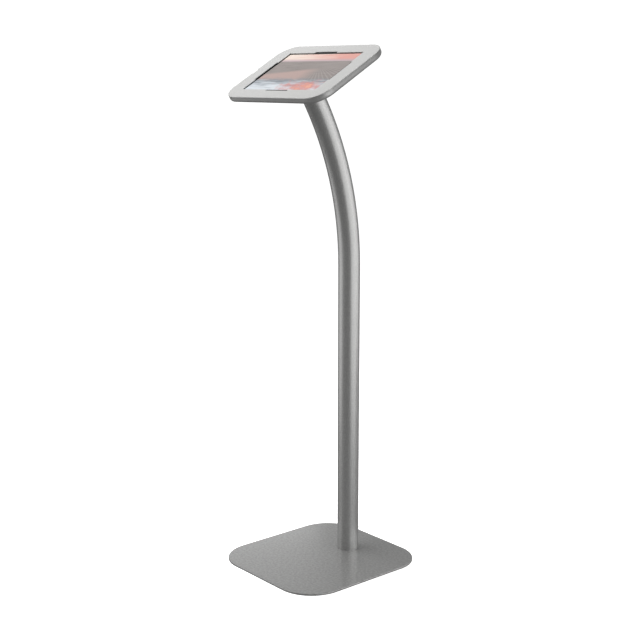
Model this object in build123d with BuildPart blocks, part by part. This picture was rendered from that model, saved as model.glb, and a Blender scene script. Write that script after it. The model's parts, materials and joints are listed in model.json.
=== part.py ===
"""Touchscreen kiosk: a tablet in a locked, sloping head on a bent column and a floor plate.

The origin is on the floor under the middle of the base plate and +Z is up. The user stands on
the -Y side, and +X is at the user's right hand. All sizes are in millimetres and degrees.
"""

import os

from build123d import *

os.makedirs("parts", exist_ok=True)

# ---- Clearances ----
running_gap = 0.05  # shaft in its bore, on the radius
thread_gap = 0.05  # screw in its tapped hole, on the radius
slip_gap = 0.1  # flat faces that slide on each other
fit_gap = 0.2  # parts of the tablet that drop into one another
loose_gap = 0.3  # parts that move apart

# ---- Base plate and its pads ----
plate_width = 329.0
plate_length = 352.0
plate_corner = 81.0
plate_thickness = 4.0
plate_edge_round = 1.0
pad_radius = 15.0
pad_thickness = 1.0
pad_margin = 9.0

# ---- Column ----
tube_diameter = 48.3
tube_wall = 2.0
column_setback = 82.9
column_rise = 654.4
bend_radius = 706.0
head_slope = 30.0
neck_straight = 50.3
boss_height = 14.0
boss_gap = 0.1  # between the tube's bore and what stands in it

# ---- Countersunk screws that hold the column down ----
foot_screw_radius = 2.5
foot_screw_head_radius = 5.0
foot_screw_length = 14.0
foot_screw_count = 4
foot_screw_turn = 45.0
foot_screw_edge = 8.0  # from a screw's middle to the boss's rim
foot_key_size = 1.7
foot_key_depth = 1.6
sink_gap = 0.2

# ---- Cable outlet at the back of the column's foot ----
outlet_height = 45.0
outlet_hole_radius = 7.0
outlet_bore_radius = 5.0
grommet_lip_width = 2.0
grommet_lip_thickness = 1.0
grommet_neck = 4.5
grommet_gap = 0.1

# ---- Neck: the plug in the tube, the hollow pivot and what holds it ----
shaft_radius = 12.0
shaft_bore_radius = 7.0
plug_flange = 4.0
plug_spigot = 14.0
neck_screw_radius = 2.0
neck_screw_count = 3
neck_screw_clear = 3.45  # from the screw's tip to the turning shaft
neck_key_size = 1.15
neck_key_depth = 2.0
washer_thickness = 1.0
washer_edge = 1.5
wave_washer_height = 1.5
wave_washer_sheet = 0.7
ring_nut_edge = 3.0  # from the nut to the plug's rim
ring_nut_thickness = 6.0
nut_slot_width = 5.0
shaft_end = 1.3
hub_flange_step = 0.15  # from the flange to the tube's outer wall
hub_flange_thickness = 3.0
stop_pin_radius = 2.0
stop_pin_angle = 135.0
head_turn = 90.0

# ---- Turn plate and its screws, on a 75 mm square ----
turn_plate_size = 100.0
turn_plate_corner = 8.0
turn_plate_thickness = 3.0
plate_screw_spacing = 75.0
plate_screw_radius = 2.0
plate_screw_hole_radius = 2.2
plate_screw_head_radius = 3.8
plate_screw_head_height = 2.2
plate_key_size = 1.3
plate_key_depth = 1.3

# ---- Head: tray and faceplate ----
head_side = 34.45  # from the tablet's side to the head's side
head_end = 23.75  # from the tablet's top or bottom to the head's
head_corner = 41.75
head_depth = 15.0
tray_wall = 2.5
tray_floor = 2.0
back_round = 6.0
front_round = 1.5
rim_depth = 3.0
rim_width = 3.5
skin = 1.5
rib_width = 1.5
rib_drop = 2.0
window_reveal_x = 2.1  # from the lit screen to the window's edge
window_reveal_y = 2.45
window_corner = 0.8
notch_length = 70.0
notch_depth = 4.0
pry_length = 18.7
pry_depth = 5.0
pry_wall = 1.5
ledge_thickness = 1.5
gasket_width = 2.0
gasket_thickness = 0.4
gasket_step = 1.0
boss_radius = 4.5
tray_boss_clear = 1.1  # from the boss to the tablet's back
cable_hole_radius = 9.5
tray_grommet_lip = 2.5
tray_grommet_thickness = 1.2
vent_length = 30.0
vent_width = 3.0
vent_pitch = 8.0
vent_count = 7

# ---- Tablet ----
tablet_width = 250.0
tablet_height = 164.0
tablet_corner = 10.0
tablet_depth = 6.8
glass_thickness = 0.7
case_wall = 1.2
case_back = 1.0
case_round = 2.0
screen_border_x = 9.5
screen_border_y = 9.8
panel_margin = 1.5
panel_thickness = 1.8
cell_side_room = 13.8
cell_end_room = 28.8
cell_thickness = 3.0
cell_gap = 4.0
board_width = 20.0
board_end_room = 21.8
board_thickness = 1.0
chip_size = 14.0
chip_height = 1.2
chip_count = 4
speaker_length = 26.0
speaker_width = 8.0
speaker_height = 2.4
speaker_side_room = 15.8
socket_width = 9.0
socket_height = 3.2
socket_depth = 7.0
socket_wall = 0.4
socket_plate_gap = 1.2
front_camera_radius = 1.6
rear_camera_radius = 5.0
camera_length = 1.6
rear_camera_inset = 16.0
button_height = 2.0
button_travel = 0.4
button_flange = 1.0
button_flange_thickness = 0.6
power_button_length = 12.0
power_button_inset = 29.0
rocker_length = 24.0
rocker_inset = 59.0
rocker_tilt = 1.5

# ---- Foam that holds the tablet ----
holder_leg = 40.0
holder_width = 8.0
holder_shim = 0.6
pad_strip_length = 50.0
pad_strip_width = 16.0
pad_strip_inset_x = 25.0
pad_strip_inset_y = 16.0

# ---- Locks, one at each side of the head ----
lock_body_radius = 8.0
lock_flange_radius = 10.0
lock_flange_thickness = 2.0
lock_nut_radius = 10.0
lock_nut_thickness = 3.0
lock_body_tail = 2.0  # from the nut to the body's end
lock_row = -25.0
lock_plug_radius = 5.0
keyway_width = 1.4
keyway_length = 6.0
keyway_depth = 4.0
cam_reach = 13.5
cam_width = 8.0
cam_thickness = 1.5
cam_hub_radius = 5.5
cam_lift = 0.9
cam_screw_radius = 1.5
cam_screw_head_radius = 2.8
cam_screw_head = 1.5
cam_screw_length = 5.0
cam_side_gap = 0.9
catch_width = 8.0
catch_leg = 2.0
catch_foot = 9.0
catch_foot_thickness = 1.5
catch_gap = 0.8
catch_swing_gap = 3.0

# ---- Sizes that follow from the ones above ----
head_width = tablet_width + 2 * head_side
head_height = tablet_height + 2 * head_end
screen_width = tablet_width - 2 * screen_border_x
screen_height = tablet_height - 2 * screen_border_y
window_width = screen_width + 2 * window_reveal_x
window_height = screen_height + 2 * window_reveal_y
vent_offset = (turn_plate_size + tablet_width) / 4
button_proud = button_travel + fit_gap

# ---- Places along the column ----
plate_top = pad_thickness + plate_thickness
tube_radius = tube_diameter / 2
tube_inner = tube_radius - tube_wall
plug_radius = tube_inner - boss_gap
foot_screw_ring = plug_radius - foot_screw_edge
ring_nut_radius = plug_radius - ring_nut_edge
hub_flange_radius = tube_radius - hub_flange_step
stop_pin_ring = (shaft_radius + hub_flange_radius) / 2
neck_screw_length = tube_radius - fit_gap - shaft_radius - neck_screw_clear
foot = Vector(0, column_setback, plate_top)
bend_start = foot + Vector(0, 0, column_rise)
toward_face = Vector(0, 0, 1).rotate(Axis.X, head_slope)

with BuildLine(Plane.YZ) as column_path:
    rise = Line((foot.Y, foot.Z), (bend_start.Y, bend_start.Z))
    bend = JernArc(start=rise @ 1, tangent=rise % 1, radius=bend_radius, arc_size=head_slope)
    neck = Line(bend @ 1, (bend @ 1) + (bend % 1) * neck_straight)
tube_end = neck @ 1

# ---- Depths below the head's front face, along the head's axis ----
glass_top = skin + gasket_thickness + fit_gap
case_top = glass_top + glass_thickness
case_bottom = glass_top + tablet_depth
floor_top = head_depth - tray_floor
boss_top = case_bottom + tray_boss_clear
turn_plate_bottom = head_depth + turn_plate_thickness
hub_flange_bottom = turn_plate_bottom + hub_flange_thickness
upper_washer_top = hub_flange_bottom + slip_gap
plug_top = upper_washer_top + washer_thickness
tube_top = plug_top + plug_flange
spigot_bottom = tube_top + plug_spigot
lower_washer_top = spigot_bottom + slip_gap
wave_washer_top = lower_washer_top + washer_thickness
ring_nut_top = wave_washer_top + wave_washer_height
ring_nut_bottom = ring_nut_top + ring_nut_thickness
shaft_bottom = ring_nut_bottom + shaft_end
front_centre = tube_end + toward_face * tube_top


def below_front(depth):
    """The plane that lies this far behind the head's front face."""
    return Plane(front_centre - toward_face * depth, x_dir=(1, 0, 0), z_dir=toward_face)


# Each neck screw's plane passes through the neck's middle, square to the screw.
spigot_middle = below_front((tube_top + spigot_bottom) / 2)
neck_screw_planes = [
    Plane(
        spigot_middle.origin,
        z_dir=spigot_middle.y_dir.rotate(
            Axis((0, 0, 0), toward_face), step * 360 / neck_screw_count
        ),
    )
    for step in range(neck_screw_count)
]
outlet_plane = Plane((foot.X, foot.Y, plate_top + outlet_height), z_dir=(0, 1, 0))


# ---- Stand ----
with BuildPart() as base_plate:
    with BuildSketch(Plane.XY.offset(pad_thickness)):
        RectangleRounded(plate_width, plate_length, plate_corner)
    extrude(amount=plate_thickness)
    fillet(base_plate.faces().sort_by(Axis.Z)[-1].edges(), radius=plate_edge_round)
    with BuildSketch(Plane((foot.X, foot.Y, pad_thickness))):
        with PolarLocations(foot_screw_ring, foot_screw_count, start_angle=foot_screw_turn):
            Circle(foot_screw_radius + sink_gap)
    extrude(amount=plate_thickness, mode=Mode.SUBTRACT)
    sink_mouth = foot_screw_head_radius + sink_gap
    for place in PolarLocations(foot_screw_ring, foot_screw_count, start_angle=foot_screw_turn):
        with Locations((foot.X + place.position.X, foot.Y + place.position.Y, pad_thickness)):
            Cone(
                sink_mouth,
                foot_screw_radius + sink_gap,
                sink_mouth - foot_screw_radius - sink_gap,
                align=(Align.CENTER, Align.CENTER, Align.MIN),
                mode=Mode.SUBTRACT,
            )
base_plate.part.label = "base_plate"
export_step(base_plate.part, "parts/base_plate.step")

# Each pad lies inside the plate's rounded corner, on the line to the corner arc's centre.
corner_reach = (plate_corner - pad_radius - pad_margin) * 0.5**0.5
pad_spread_x = plate_width - 2 * plate_corner + 2 * corner_reach
pad_spread_y = plate_length - 2 * plate_corner + 2 * corner_reach
with BuildPart() as foot_pads:
    with BuildSketch():
        with GridLocations(pad_spread_x, pad_spread_y, 2, 2):
            Circle(pad_radius)
    extrude(amount=pad_thickness)
foot_pads.part.label = "foot_pads"
export_step(foot_pads.part, "parts/foot_pads.step")

with BuildPart() as foot_boss:
    with BuildSketch(Plane(foot)):
        Circle(plug_radius)
        with PolarLocations(foot_screw_ring, foot_screw_count, start_angle=foot_screw_turn):
            Circle(foot_screw_radius + thread_gap, mode=Mode.SUBTRACT)
    extrude(amount=boss_height)
foot_boss.part.label = "foot_boss"
export_step(foot_boss.part, "parts/foot_boss.step")

with BuildPart() as column_tube:
    with BuildSketch(Plane(foot)):
        Circle(tube_radius)
        Circle(tube_inner, mode=Mode.SUBTRACT)
    sweep(path=column_path.wire())
    # The cable leaves through a round hole in the back wall.
    with BuildSketch(outlet_plane):
        Circle(outlet_hole_radius)
    extrude(amount=tube_diameter, mode=Mode.SUBTRACT)
    # Holes for the neck screws.
    for screw_plane in neck_screw_planes:
        with BuildSketch(screw_plane):
            Circle(neck_screw_radius + thread_gap)
        extrude(amount=tube_diameter, mode=Mode.SUBTRACT)
column_tube.part.label = "column_tube"
export_step(column_tube.part, "parts/column_tube.step")

with BuildPart() as column_screws:
    for place in PolarLocations(foot_screw_ring, foot_screw_count, start_angle=foot_screw_turn):
        with Locations((foot.X + place.position.X, foot.Y + place.position.Y, pad_thickness)):
            Cone(
                foot_screw_head_radius,
                foot_screw_radius,
                foot_screw_head_radius - foot_screw_radius,
                align=(Align.CENTER, Align.CENTER, Align.MIN),
            )
            Cylinder(
                foot_screw_radius,
                foot_screw_length,
                align=(Align.CENTER, Align.CENTER, Align.MIN),
            )
    with BuildSketch(Plane((foot.X, foot.Y, pad_thickness))):
        with PolarLocations(foot_screw_ring, foot_screw_count, start_angle=foot_screw_turn):
            RegularPolygon(foot_key_size, 6)
    extrude(amount=foot_key_depth, mode=Mode.SUBTRACT)
column_screws.part.label = "column_screws"
export_step(column_screws.part, "parts/column_screws.step")

with BuildPart() as cable_grommet:
    # The outer lip hugs the round of the tube.
    with BuildSketch(outlet_plane):
        Circle(outlet_hole_radius + grommet_lip_width)
    extrude(amount=tube_radius + grommet_lip_thickness)
    with BuildSketch(Plane(foot)):
        Circle(tube_radius)
    extrude(amount=2 * outlet_height, mode=Mode.SUBTRACT)
    with BuildSketch(outlet_plane.offset(tube_radius + grommet_lip_thickness)):
        Circle(outlet_hole_radius - grommet_gap)
    extrude(amount=-(grommet_lip_thickness + grommet_neck))
    with BuildSketch(outlet_plane):
        Circle(outlet_bore_radius)
    extrude(amount=tube_diameter, mode=Mode.SUBTRACT)
cable_grommet.part.label = "cable_grommet"
export_step(cable_grommet.part, "parts/cable_grommet.step")

# ---- Neck, fixed half ----
with BuildPart() as neck_plug:
    with BuildSketch(below_front(tube_top)):
        Circle(tube_radius)
    extrude(amount=plug_flange)
    with BuildSketch(below_front(spigot_bottom)):
        Circle(plug_radius)
    extrude(amount=plug_spigot)
    with BuildSketch(below_front(spigot_bottom)):
        Circle(shaft_radius + running_gap)
    extrude(amount=plug_flange + plug_spigot, mode=Mode.SUBTRACT)
    with BuildSketch(below_front(plug_top)):
        with PolarLocations(stop_pin_ring, 1, start_angle=stop_pin_angle):
            Circle(stop_pin_radius)
    extrude(amount=-plug_flange, mode=Mode.SUBTRACT)
    for screw_plane in neck_screw_planes:
        with BuildSketch(screw_plane):
            Circle(neck_screw_radius + thread_gap)
        extrude(amount=tube_diameter, mode=Mode.SUBTRACT)
neck_plug.part.label = "neck_plug"
export_step(neck_plug.part, "parts/neck_plug.step")

with BuildPart() as neck_screws:
    for screw_plane in neck_screw_planes:
        screw_mouth = screw_plane.offset(tube_radius - fit_gap)
        with BuildSketch(screw_mouth):
            Circle(neck_screw_radius)
        extrude(amount=-neck_screw_length)
        with BuildSketch(screw_mouth):
            RegularPolygon(neck_key_size, 6)
        extrude(amount=-neck_key_depth, mode=Mode.SUBTRACT)
neck_screws.part.label = "neck_screws"
export_step(neck_screws.part, "parts/neck_screws.step")

with BuildPart() as upper_washer:
    with BuildSketch(below_front(plug_top)):
        Circle(tube_radius - washer_edge)
        Circle(shaft_radius + fit_gap, mode=Mode.SUBTRACT)
        with PolarLocations(stop_pin_ring, 1, start_angle=stop_pin_angle):
            Circle(stop_pin_radius + fit_gap, mode=Mode.SUBTRACT)
    extrude(amount=washer_thickness)
upper_washer.part.label = "upper_washer"
export_step(upper_washer.part, "parts/upper_washer.step")

with BuildPart() as stop_pin:
    with BuildSketch(below_front(tube_top)):
        with PolarLocations(stop_pin_ring, 1, start_angle=stop_pin_angle):
            Circle(stop_pin_radius)
    extrude(amount=tube_top - turn_plate_bottom - loose_gap)
stop_pin.part.label = "stop_pin"
export_step(stop_pin.part, "parts/stop_pin.step")

# ---- Neck, turning half ----
stop_arc = CenterArc((0, 0), stop_pin_ring, stop_pin_angle - head_turn, head_turn)
with BuildPart() as pivot_hub:
    with BuildSketch(below_front(hub_flange_bottom)):
        Circle(hub_flange_radius)
        SlotArc(arc=stop_arc, height=2 * (stop_pin_radius + loose_gap), mode=Mode.SUBTRACT)
    extrude(amount=hub_flange_thickness)
    with BuildSketch(below_front(shaft_bottom)):
        Circle(shaft_radius)
    extrude(amount=shaft_bottom - hub_flange_bottom)
    with BuildSketch(below_front(shaft_bottom)):
        Circle(shaft_bore_radius)
    extrude(amount=shaft_bottom - turn_plate_bottom, mode=Mode.SUBTRACT)
pivot_hub.part.label = "pivot_hub"
export_step(pivot_hub.part, "parts/pivot_hub.step")

with BuildPart() as lower_washer:
    with BuildSketch(below_front(wave_washer_top)):
        Circle(ring_nut_radius)
        Circle(shaft_radius + fit_gap, mode=Mode.SUBTRACT)
    extrude(amount=washer_thickness)
lower_washer.part.label = "lower_washer"
export_step(lower_washer.part, "parts/lower_washer.step")

with BuildPart() as wave_washer:
    # A thin sheet ring, dished to a cone so that it presses the washers together.
    with BuildSketch(Plane(front_centre, x_dir=(1, 0, 0), z_dir=-below_front(0).y_dir)):
        with BuildLine():
            Polyline(
                (shaft_radius + fit_gap, -wave_washer_top),
                (shaft_radius + fit_gap, -wave_washer_top - wave_washer_sheet),
                (ring_nut_radius - washer_edge, -ring_nut_top),
                (ring_nut_radius - washer_edge, -ring_nut_top + wave_washer_sheet),
                close=True,
            )
        make_face()
    revolve(axis=Axis(front_centre, toward_face))
wave_washer.part.label = "wave_washer"
export_step(wave_washer.part, "parts/wave_washer.step")

with BuildPart() as ring_nut:
    with BuildSketch(below_front(ring_nut_bottom)):
        Circle(ring_nut_radius)
        Circle(shaft_radius + thread_gap, mode=Mode.SUBTRACT)
        with PolarLocations(ring_nut_radius, 4):
            Rectangle(ring_nut_radius - shaft_radius, nut_slot_width, mode=Mode.SUBTRACT)
    extrude(amount=ring_nut_thickness)
ring_nut.part.label = "ring_nut"
export_step(ring_nut.part, "parts/ring_nut.step")

with BuildPart() as turn_plate:
    with BuildSketch(below_front(turn_plate_bottom)):
        RectangleRounded(turn_plate_size, turn_plate_size, turn_plate_corner)
        Circle(shaft_bore_radius, mode=Mode.SUBTRACT)
        with GridLocations(plate_screw_spacing, plate_screw_spacing, 2, 2):
            Circle(plate_screw_hole_radius, mode=Mode.SUBTRACT)
    extrude(amount=turn_plate_thickness)
turn_plate.part.label = "turn_plate"
export_step(turn_plate.part, "parts/turn_plate.step")

with BuildPart() as turn_plate_screws:
    with BuildSketch(below_front(turn_plate_bottom)):
        with GridLocations(plate_screw_spacing, plate_screw_spacing, 2, 2):
            Circle(plate_screw_head_radius)
    extrude(amount=-plate_screw_head_height)
    far_rims = turn_plate_screws.edges().group_by(Axis((0, 0, 0), toward_face))[0]
    fillet(far_rims, radius=plate_screw_head_height / 2)
    with BuildSketch(below_front(turn_plate_bottom)):
        with GridLocations(plate_screw_spacing, plate_screw_spacing, 2, 2):
            Circle(plate_screw_radius)
    extrude(amount=turn_plate_bottom - boss_top - fit_gap)
    with BuildSketch(below_front(turn_plate_bottom + plate_screw_head_height)):
        with GridLocations(plate_screw_spacing, plate_screw_spacing, 2, 2):
            RegularPolygon(plate_key_size, 6)
    extrude(amount=plate_key_depth, mode=Mode.SUBTRACT)
turn_plate_screws.part.label = "turn_plate_screws"
export_step(turn_plate_screws.part, "parts/turn_plate_screws.step")

# ---- Head tray ----
rib_outer = tray_wall + loose_gap
rib_inner = rib_outer + rib_width
lock_place = head_width / 2 - rib_inner - cam_side_gap - cam_reach
inner_width = head_width - 2 * tray_wall
inner_height = head_height - 2 * tray_wall
inner_corner = head_corner - tray_wall
tray_top = rim_depth + loose_gap
ledge_depth = pry_depth + pry_wall - tray_wall
with BuildPart() as back_tray:
    with BuildSketch(below_front(head_depth)):
        RectangleRounded(head_width, head_height, head_corner)
    extrude(amount=head_depth - tray_top)
    back_edges = back_tray.faces().sort_by(Axis((0, 0, 0), toward_face))[0].edges()
    fillet(back_edges, radius=back_round)
    with BuildSketch(below_front(tray_top)):
        RectangleRounded(inner_width, inner_height, inner_corner)
    extrude(amount=tray_top - floor_top, mode=Mode.SUBTRACT)
    # Bosses for the turn plate's screws stand on the floor.
    with BuildSketch(below_front(floor_top)):
        with GridLocations(plate_screw_spacing, plate_screw_spacing, 2, 2):
            Circle(boss_radius)
    extrude(amount=floor_top - boss_top)
    # A ledge closes the pry notch from below.
    with BuildSketch(below_front(tray_top)):
        with Locations((-(inner_width - ledge_depth) / 2, 0)):
            Rectangle(ledge_depth, pry_length + 2 * pry_wall)
    extrude(amount=-ledge_thickness)
    with BuildSketch(below_front(head_depth)):
        with GridLocations(plate_screw_spacing, plate_screw_spacing, 2, 2):
            Circle(plate_screw_radius + thread_gap)
        with Locations((0, lock_row)):
            with GridLocations(2 * lock_place, 0, 2, 1):
                Circle(lock_body_radius + thread_gap)
        Circle(cable_hole_radius)
        for side in (-1, 1):
            with Locations((side * vent_offset, 0)):
                with GridLocations(vent_pitch, 0, vent_count, 1):
                    SlotOverall(vent_length, vent_width, rotation=90)
    extrude(amount=head_depth - boss_top, mode=Mode.SUBTRACT)
back_tray.part.label = "back_tray"
export_step(back_tray.part, "parts/back_tray.step")

with BuildPart() as tray_grommet:
    with BuildSketch(below_front(head_depth)):
        Circle(cable_hole_radius - grommet_gap)
    extrude(amount=tray_floor + tray_grommet_thickness)
    with BuildSketch(below_front(floor_top)):
        Circle(cable_hole_radius + tray_grommet_lip)
    extrude(amount=tray_grommet_thickness)
    with BuildSketch(below_front(head_depth)):
        Circle(shaft_bore_radius)
    extrude(amount=tray_floor + tray_grommet_thickness, mode=Mode.SUBTRACT)
tray_grommet.part.label = "tray_grommet"
export_step(tray_grommet.part, "parts/tray_grommet.step")

# ---- Foam ----
with BuildPart() as rear_pads:
    with BuildSketch(below_front(floor_top)):
        with GridLocations(
            tablet_width - 2 * (pad_strip_inset_x + pad_strip_length / 2),
            tablet_height - 2 * (pad_strip_inset_y + pad_strip_width / 2),
            2,
            2,
        ):
            RectangleRounded(pad_strip_length, pad_strip_width, pad_strip_width / 4)
    extrude(amount=floor_top - case_bottom)
rear_pads.part.label = "rear_pads"
export_step(rear_pads.part, "parts/rear_pads.step")

holder_spread_x = tablet_width + 2 * (holder_width + holder_shim) - holder_leg
holder_spread_y = tablet_height + 2 * (holder_width + holder_shim) - holder_leg
with BuildPart() as corner_holders:
    with BuildSketch(below_front(floor_top)):
        with GridLocations(holder_spread_x, holder_spread_y, 2, 2):
            Rectangle(holder_leg, holder_leg)
        RectangleRounded(
            tablet_width + 2 * holder_shim,
            tablet_height + 2 * holder_shim,
            tablet_corner + holder_shim,
            mode=Mode.SUBTRACT,
        )
    extrude(amount=floor_top - case_top)
    fillet(
        corner_holders.edges().filter_by(Axis((0, 0, 0), toward_face)).sort_by(
            lambda edge: (edge.center() - front_centre).cross(toward_face).length
        )[-4:],
        radius=holder_width / 2,
    )
corner_holders.part.label = "corner_holders"
export_step(corner_holders.part, "parts/corner_holders.step")

# ---- Tablet ----
case_inside = case_bottom - case_back
button_middle = (case_top + case_inside) / 2
socket_middle = (case_top + panel_thickness + case_inside) / 2
pocket_width = tablet_width - 2 * case_wall
pocket_height = tablet_height - 2 * case_wall
power_button_place = tablet_width / 2 - power_button_inset
rocker_place = tablet_width / 2 - rocker_inset
rear_camera_x = tablet_width / 2 - rear_camera_inset
rear_camera_y = tablet_height / 2 - rear_camera_inset
tablet_top_edge = Plane(
    below_front(button_middle).from_local_coords(Vector(0, tablet_height / 2, 0)),
    x_dir=(1, 0, 0),
    z_dir=below_front(0).y_dir,
)
with BuildPart() as tablet_case:
    with BuildSketch(below_front(case_bottom)):
        RectangleRounded(tablet_width, tablet_height, tablet_corner)
    extrude(amount=case_bottom - case_top)
    fillet(
        tablet_case.faces().sort_by(Axis((0, 0, 0), toward_face))[0].edges(), radius=case_round
    )
    with BuildSketch(below_front(case_inside)):
        RectangleRounded(pocket_width, pocket_height, tablet_corner - case_wall)
    extrude(amount=case_inside - case_top, mode=Mode.SUBTRACT)
    with BuildSketch(tablet_top_edge):
        with Locations((power_button_place, 0)):
            SlotOverall(power_button_length + 2 * fit_gap, button_height + 2 * fit_gap)
        with Locations((-rocker_place, 0)):
            SlotOverall(rocker_length + 2 * fit_gap, button_height + 2 * fit_gap)
    extrude(amount=-2 * case_wall, mode=Mode.SUBTRACT)
    # The socket's mouth is in the middle of the right-hand edge.
    socket_plane = Plane(
        below_front(socket_middle).from_local_coords(Vector(tablet_width / 2, 0, 0)),
        x_dir=below_front(0).y_dir,
        z_dir=(1, 0, 0),
    )
    with BuildSketch(socket_plane):
        SlotOverall(socket_width, socket_height)
    extrude(amount=-2 * case_wall, mode=Mode.SUBTRACT)
    with BuildSketch(below_front(case_bottom)):
        with Locations((rear_camera_x, rear_camera_y)):
            Circle(rear_camera_radius + fit_gap)
    extrude(amount=case_back, mode=Mode.SUBTRACT)
tablet_case.part.label = "tablet_case"
export_step(tablet_case.part, "parts/tablet_case.step")

with BuildPart() as tablet_glass:
    with BuildSketch(below_front(case_top)):
        RectangleRounded(tablet_width, tablet_height, tablet_corner)
    extrude(amount=glass_thickness)
tablet_glass.part.label = "tablet_glass"
export_step(tablet_glass.part, "parts/tablet_glass.step")

panel_width = screen_width + 2 * panel_margin
panel_height = screen_height + 2 * panel_margin
with BuildPart() as display_panel:
    with BuildSketch(below_front(case_top)):
        Rectangle(panel_width, panel_height)
    extrude(amount=-panel_thickness)
display_panel.part.label = "display_panel"
export_step(display_panel.part, "parts/display_panel.step")

cell_width = (pocket_width - board_width) / 2 - cell_side_room - cell_gap
cell_height = pocket_height - 2 * cell_end_room
with BuildPart() as battery_cells:
    with BuildSketch(below_front(case_inside)):
        with Locations((-(board_width + cell_gap) / 2, 0)):
            with GridLocations(cell_width + cell_gap, 0, 2, 1):
                RectangleRounded(cell_width, cell_height, case_wall)
    extrude(amount=cell_thickness)
battery_cells.part.label = "battery_cells"
export_step(battery_cells.part, "parts/battery_cells.step")

board_place = cell_width + cell_gap
board_height = pocket_height - 2 * board_end_room
with BuildPart() as main_board:
    with BuildSketch(below_front(case_inside)):
        with Locations((board_place, -cell_gap)):
            Rectangle(board_width, board_height)
    extrude(amount=board_thickness)
    with BuildSketch(below_front(case_inside - board_thickness)):
        with Locations((board_place, -cell_gap)):
            with GridLocations(0, board_height / (chip_count + 0.5), 1, chip_count):
                Rectangle(chip_size, chip_size)
    extrude(amount=chip_height)
main_board.part.label = "main_board"
export_step(main_board.part, "parts/main_board.step")

with BuildPart() as charging_socket:
    with BuildSketch(socket_plane.offset(-case_wall - fit_gap)):
        SlotOverall(socket_width, socket_height)
    extrude(amount=-socket_depth)
    with BuildSketch(socket_plane.offset(-case_wall - fit_gap)):
        SlotOverall(socket_width - 2 * socket_wall, socket_height - 2 * socket_wall)
        Rectangle(
            socket_width - 4 * socket_plate_gap,
            socket_height - 2 * socket_plate_gap,
            mode=Mode.SUBTRACT,
        )
    extrude(amount=-(socket_depth - socket_wall), mode=Mode.SUBTRACT)
charging_socket.part.label = "charging_socket"
export_step(charging_socket.part, "parts/charging_socket.step")

speaker_line = -(pocket_height - speaker_width) / 2 + fit_gap
with BuildPart() as speakers:
    with BuildSketch(below_front(case_inside)):
        with Locations((0, speaker_line)):
            with GridLocations(pocket_width - 2 * speaker_side_room - speaker_length, 0, 2, 1):
                RectangleRounded(speaker_length, speaker_width, case_wall)
    extrude(amount=speaker_height)
speakers.part.label = "speakers"
export_step(speakers.part, "parts/speakers.step")

front_camera_y = (panel_height + tablet_height) / 4
with BuildPart() as front_camera:
    with BuildSketch(below_front(case_top)):
        with Locations((0, front_camera_y)):
            Circle(front_camera_radius)
    extrude(amount=-camera_length)
front_camera.part.label = "front_camera"
export_step(front_camera.part, "parts/front_camera.step")

with BuildPart() as rear_camera:
    with BuildSketch(below_front(case_bottom)):
        with Locations((rear_camera_x, rear_camera_y)):
            Circle(rear_camera_radius)
    extrude(amount=case_back + camera_length)
    with BuildSketch(below_front(case_bottom)):
        with Locations((rear_camera_x, rear_camera_y)):
            Circle(rear_camera_radius / 2)
    extrude(amount=case_back / 2, mode=Mode.SUBTRACT)
rear_camera.part.label = "rear_camera"
export_step(rear_camera.part, "parts/rear_camera.step")

# The power button's cap passes through the case's wall to a wider flange behind it.
flange_plane = tablet_top_edge.offset(-case_wall - fit_gap)
with BuildPart() as power_button:
    with BuildSketch(tablet_top_edge.offset(button_proud)):
        with Locations((power_button_place, 0)):
            SlotOverall(power_button_length, button_height)
    extrude(amount=-(button_proud + case_wall + fit_gap))
    with BuildSketch(flange_plane):
        with Locations((power_button_place, 0)):
            Rectangle(power_button_length + 2 * button_flange, button_height)
    extrude(amount=-button_flange_thickness)
power_button.part.label = "power_button"
export_step(power_button.part, "parts/power_button.step")

with BuildPart() as volume_rocker:
    with BuildSketch(tablet_top_edge.offset(button_proud)):
        with Locations((-rocker_place, 0)):
            SlotOverall(rocker_length, button_height)
    extrude(amount=-(button_proud + case_wall + fit_gap + rocker_tilt / 2))
volume_rocker.part.label = "volume_rocker"
export_step(volume_rocker.part, "parts/volume_rocker.step")

# ---- Faceplate ----
with BuildPart() as faceplate:
    with BuildSketch(below_front(rim_depth)):
        RectangleRounded(head_width, head_height, head_corner)
    extrude(amount=rim_depth)
    fillet(
        faceplate.faces().sort_by(Axis((0, 0, 0), toward_face))[-1].edges(), radius=front_round
    )
    with BuildSketch(below_front(rim_depth)):
        RectangleRounded(
            head_width - 2 * rim_width, head_height - 2 * rim_width, head_corner - rim_width
        )
    extrude(amount=rim_depth - skin, mode=Mode.SUBTRACT)
    # A rib round the inside drops into the tray and keeps the plate from sliding.
    with BuildSketch(below_front(rim_depth + rib_drop)):
        RectangleRounded(
            head_width - 2 * rib_outer, head_height - 2 * rib_outer, head_corner - rib_outer
        )
        RectangleRounded(
            head_width - 2 * rib_inner,
            head_height - 2 * rib_inner,
            head_corner - rib_inner,
            mode=Mode.SUBTRACT,
        )
    extrude(amount=rib_drop + rim_depth - skin)
    # The rib stops short of the tray's ledge, and a wall backs the pry notch.
    with BuildSketch(below_front(rim_depth + rib_drop)):
        with Locations((-(head_width - 2 * rib_outer) / 2, 0)):
            Rectangle(4 * rib_width, pry_length + 2 * (pry_wall + loose_gap))
    extrude(amount=rib_drop, mode=Mode.SUBTRACT)
    with BuildSketch(below_front(rim_depth)):
        with Locations((-(head_width / 2 - pry_depth - pry_wall), 0)):
            Rectangle(2 * pry_wall, pry_length + 2 * pry_wall)
    extrude(amount=rim_depth - skin)
    with BuildSketch(below_front(rim_depth)):
        with Locations((-head_width / 2, 0)):
            Rectangle(2 * pry_depth, pry_length)
        RectangleRounded(window_width, window_height, window_corner)
        Rectangle(notch_length, window_height + 2 * notch_depth)
        Rectangle(window_width + 2 * notch_depth, notch_length)
    extrude(amount=rim_depth, mode=Mode.SUBTRACT)
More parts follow.
